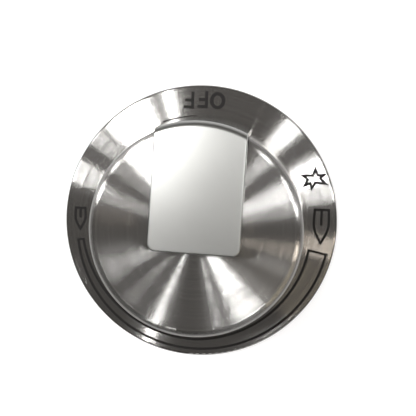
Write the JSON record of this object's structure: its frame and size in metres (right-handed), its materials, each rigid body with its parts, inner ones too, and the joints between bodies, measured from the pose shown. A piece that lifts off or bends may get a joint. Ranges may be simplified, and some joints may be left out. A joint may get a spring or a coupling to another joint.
{
  "type": "stove knob",
  "caption": "Skirted steel stove knob with a brushed round face, a raised bar grip and a D-shaped spindle socket in its back.",
  "frame": {"origin": "on the knob's axis, in the plane of the skirt's back edge", "axes": "+Z along the spindle axis towards the face, +Y towards the OFF mark and the grip's outer end"},
  "size_m": [0.07, 0.07, 0.029],
  "materials": {
    "skirt_steel": "circumferentially brushed stainless",
    "body_steel": "turned and brushed stainless",
    "grip_metal": "satin plated zinc casting",
    "hub_plastic": "black heat-resistant moulding",
    "spring_steel": "plain spring steel",
    "screw_steel": "zinc-plated steel"
  },
  "bodies": {
    "root": {"skirt": "skirt_steel", "body": "body_steel", "grip": "grip_metal", "hub": "hub_plastic", "shaft_spring": "spring_steel", "skirt_screws": "screw_steel", "grip_screws": "screw_steel"}
  },
  "joints": []
}
